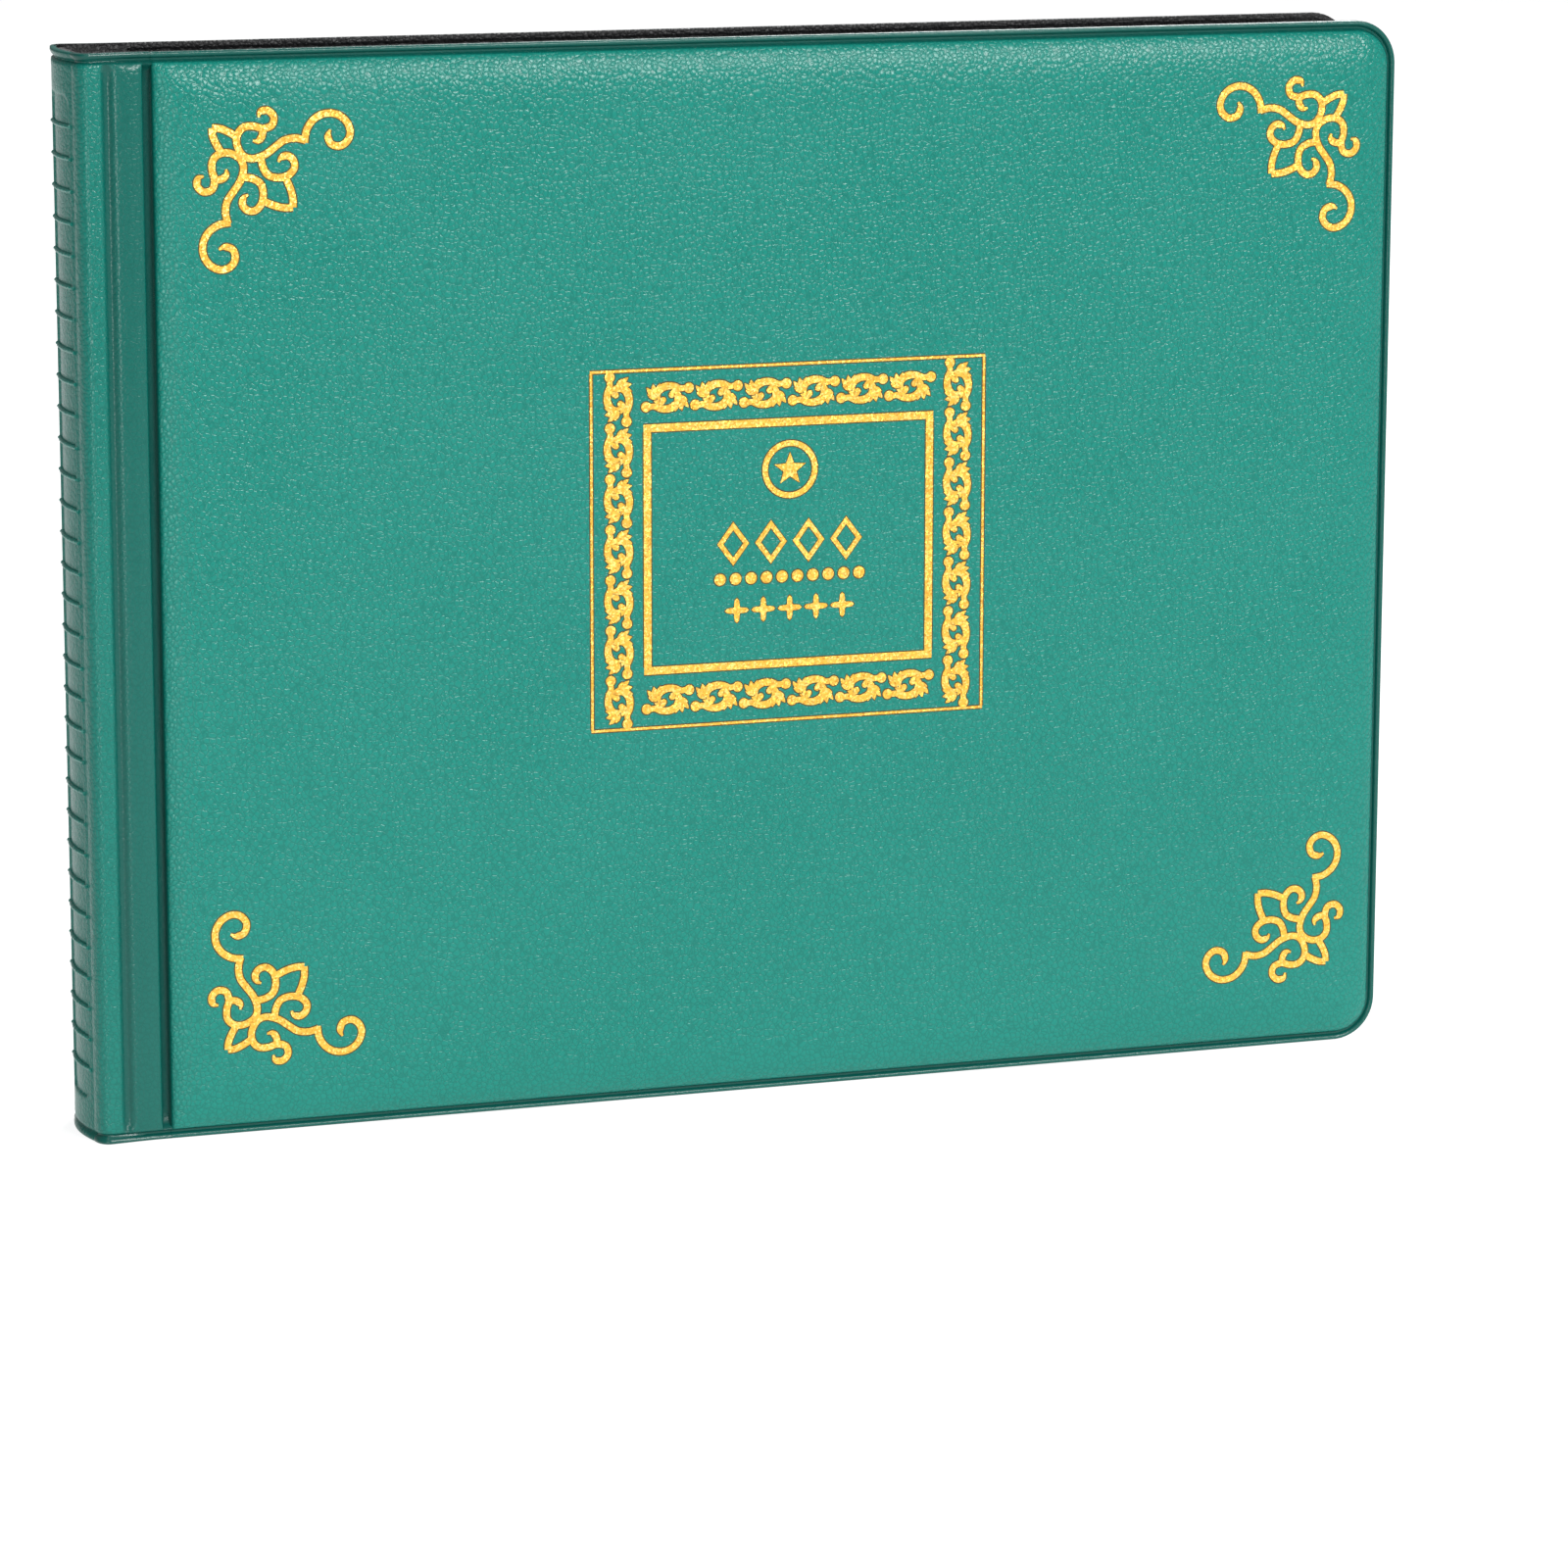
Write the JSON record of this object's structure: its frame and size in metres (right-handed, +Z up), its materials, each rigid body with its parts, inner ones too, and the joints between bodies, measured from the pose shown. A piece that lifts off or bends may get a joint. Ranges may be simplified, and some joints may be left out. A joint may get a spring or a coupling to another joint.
{
  "type": "coin album",
  "caption": "Landscape coin album with padded vinyl covers, a ribbed spine and leaves of clear flap-topped pockets; covers and leaves open flat.",
  "frame": {"origin": "under the middle of the closed album, on the plane it stands on", "axes": "+X from the spine to the fore edge, +Y from the front cover to the back cover, +Z up along the spine"},
  "size_m": [0.232, 0.0239, 0.18],
  "materials": {
    "green_vinyl": "fine leather grain, soft sheen",
    "black_vinyl": "fine leather grain, soft sheen",
    "grey_board": "matt",
    "foam": "soft foam",
    "backing_sheet": "satin",
    "clear_film": "clear and glossy",
    "gold_coin": "polished, slightly worn",
    "gold_print": "sparkling gold foil"
  },
  "bodies": {
    "spine": {"spine_skin": "green_vinyl", "spine_board": "grey_board", "spine_lining": "black_vinyl", "front_binding": "black_vinyl", "back_binding": "black_vinyl"},
    "front_cover": {"front_gutter": "green_vinyl", "front_gutter_lining": "black_vinyl", "front_skin": "green_vinyl", "front_foam": "foam", "front_board": "grey_board", "front_lining": "black_vinyl", "front_title_print": "gold_print", "front_corner_print": "gold_print"},
    "back_cover": {"back_gutter": "green_vinyl", "back_gutter_lining": "black_vinyl", "back_skin": "green_vinyl", "back_foam": "foam", "back_board": "grey_board", "back_lining": "black_vinyl"},
    "front_leaf_1": {"front_leaf_1_backing": "backing_sheet", "front_leaf_1_pockets": "clear_film", "front_leaf_1_flaps": "clear_film"},
    "front_leaf_2": {"front_leaf_2_backing": "backing_sheet", "front_leaf_2_pockets": "clear_film", "front_leaf_2_flaps": "clear_film"},
    "front_leaf_3": {"front_leaf_3_backing": "backing_sheet", "front_leaf_3_pockets": "clear_film", "front_leaf_3_flaps": "clear_film"},
    "front_leaf_4": {"front_leaf_4_backing": "backing_sheet", "front_leaf_4_pockets": "clear_film", "front_leaf_4_flaps": "clear_film"},
    "front_leaf_5": {"front_leaf_5_backing": "backing_sheet", "front_leaf_5_pockets": "clear_film", "front_leaf_5_flaps": "clear_film", "small_coins_row_1": "gold_coin", "small_coins_row_2": "gold_coin", "small_coins_row_3": "gold_coin", "small_coins_row_4": "gold_coin"},
    "back_leaf_1": {"back_leaf_1_backing": "backing_sheet", "back_leaf_1_pockets": "clear_film", "back_leaf_1_flaps": "clear_film"},
    "back_leaf_2": {"back_leaf_2_backing": "backing_sheet", "back_leaf_2_pockets": "clear_film", "back_leaf_2_flaps": "clear_film"},
    "back_leaf_3": {"back_leaf_3_backing": "backing_sheet", "back_leaf_3_pockets": "clear_film", "back_leaf_3_flaps": "clear_film"},
    "back_leaf_4": {"back_leaf_4_backing": "backing_sheet", "back_leaf_4_pockets": "clear_film", "back_leaf_4_flaps": "clear_film"},
    "back_leaf_5": {"back_leaf_5_backing": "backing_sheet", "back_leaf_5_pockets": "clear_film", "back_leaf_5_flaps": "clear_film", "large_coins_row_1": "gold_coin", "large_coins_row_2": "gold_coin", "large_coins_row_3": "gold_coin"}
  },
  "joints": [
    {"name": "front_cover_hinge", "type": "hinge", "parent": "spine", "child": "front_cover", "pos_m": [-0.1146, -0.0091, 0], "axis": [0, 0, -1], "range_deg": [0, 90]},
    {"name": "back_cover_hinge", "type": "hinge", "parent": "spine", "child": "back_cover", "pos_m": [-0.1146, 0.0091, 0], "axis": [0, 0, 1], "range_deg": [0, 90]},
    {"name": "front_leaf_1_turn", "type": "hinge", "parent": "spine", "child": "front_leaf_1", "pos_m": [-0.1118, -0.00717, 0], "axis": [0, 0, -1], "range_deg": [0, 90]},
    {"name": "front_leaf_2_turn", "type": "hinge", "parent": "spine", "child": "front_leaf_2", "pos_m": [-0.11075, -0.00613, 0], "axis": [0, 0, -1], "range_deg": [0, 90]},
    {"name": "front_leaf_3_turn", "type": "hinge", "parent": "spine", "child": "front_leaf_3", "pos_m": [-0.1097, -0.00507, 0], "axis": [0, 0, -1], "range_deg": [0, 90]},
    {"name": "front_leaf_4_turn", "type": "hinge", "parent": "spine", "child": "front_leaf_4", "pos_m": [-0.10865, -0.00402, 0], "axis": [0, 0, -1], "range_deg": [0, 90]},
    {"name": "front_leaf_5_turn", "type": "hinge", "parent": "spine", "child": "front_leaf_5", "pos_m": [-0.1076, -0.00298, 0], "axis": [0, 0, -1], "range_deg": [0, 90]},
    {"name": "back_leaf_1_turn", "type": "hinge", "parent": "spine", "child": "back_leaf_1", "pos_m": [-0.1118, 0.00717, 0], "axis": [0, 0, 1], "range_deg": [0, 90]},
    {"name": "back_leaf_2_turn", "type": "hinge", "parent": "spine", "child": "back_leaf_2", "pos_m": [-0.11075, 0.00613, 0], "axis": [0, 0, 1], "range_deg": [0, 90]},
    {"name": "back_leaf_3_turn", "type": "hinge", "parent": "spine", "child": "back_leaf_3", "pos_m": [-0.1097, 0.00507, 0], "axis": [0, 0, 1], "range_deg": [0, 90]},
    {"name": "back_leaf_4_turn", "type": "hinge", "parent": "spine", "child": "back_leaf_4", "pos_m": [-0.10865, 0.00402, 0], "axis": [0, 0, 1], "range_deg": [0, 90]},
    {"name": "back_leaf_5_turn", "type": "hinge", "parent": "spine", "child": "back_leaf_5", "pos_m": [-0.1076, 0.00298, 0], "axis": [0, 0, 1], "range_deg": [0, 90]}
  ],
  "couplings": [
    {"joint": "front_leaf_1_turn", "follows": "front_cover_hinge", "ratio": 1},
    {"joint": "front_leaf_2_turn", "follows": "front_cover_hinge", "ratio": 1},
    {"joint": "front_leaf_3_turn", "follows": "front_cover_hinge", "ratio": 1},
    {"joint": "front_leaf_4_turn", "follows": "front_cover_hinge", "ratio": 1},
    {"joint": "front_leaf_5_turn", "follows": "front_cover_hinge", "ratio": 1},
    {"joint": "back_leaf_1_turn", "follows": "back_cover_hinge", "ratio": 1},
    {"joint": "back_leaf_2_turn", "follows": "back_cover_hinge", "ratio": 1},
    {"joint": "back_leaf_3_turn", "follows": "back_cover_hinge", "ratio": 1},
    {"joint": "back_leaf_4_turn", "follows": "back_cover_hinge", "ratio": 1},
    {"joint": "back_leaf_5_turn", "follows": "back_cover_hinge", "ratio": 1}
  ]
}
